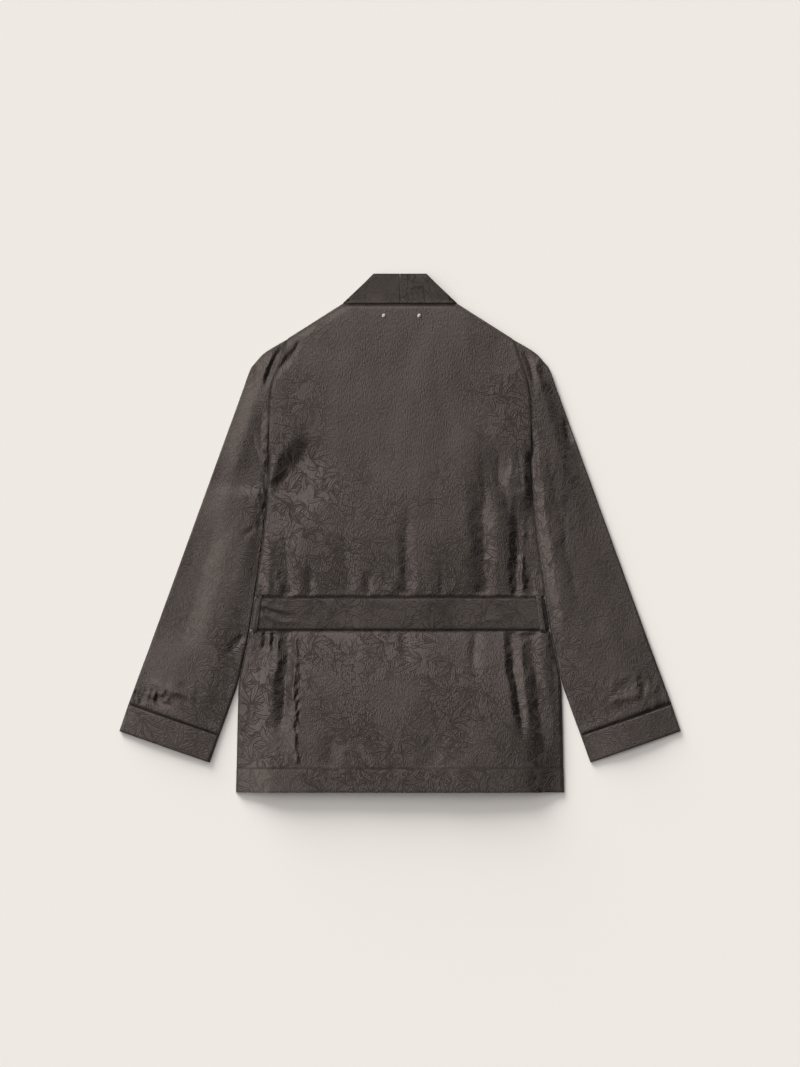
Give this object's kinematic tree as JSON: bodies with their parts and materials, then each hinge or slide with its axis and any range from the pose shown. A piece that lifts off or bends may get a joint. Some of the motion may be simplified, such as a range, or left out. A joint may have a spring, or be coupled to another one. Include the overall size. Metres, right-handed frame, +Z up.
{
  "type": "kimono jacket",
  "caption": "Belted kimono jacket of dark floral jacquard satin, laid out flat with the back up, with a folded collar, set-in sleeves with cuff bands, a hem band and a sash through loops.",
  "frame": {"origin": "middle of the jacket's outline on the surface it lies on", "axes": "+X across the shoulders towards the wearer's right sleeve, +Y from the hem to the collar, +Z up from the surface, out of the back panel"},
  "size_m": [0.8432, 0.778, 0.0109],
  "materials": {
    "jacquard": "dark brown-charcoal satin with a tonal floral jacquard weave",
    "steel": "polished silver-coloured studs"
  },
  "bodies": {
    "root": {"back": "jacquard", "belt": "jacquard", "belt_loop_left": "jacquard", "belt_loop_right": "jacquard", "collar_front_left": "jacquard", "collar_front_right": "jacquard", "collar_left": "jacquard", "collar_right": "jacquard", "cuff_left": "jacquard", "cuff_right": "jacquard", "front_left": "jacquard", "front_right": "jacquard", "hem_back": "jacquard", "hem_front_left": "jacquard", "hem_front_right": "jacquard", "sleeve_left": "jacquard", "sleeve_right": "jacquard", "stud_left": "steel", "stud_right": "steel"}
  },
  "joints": []
}
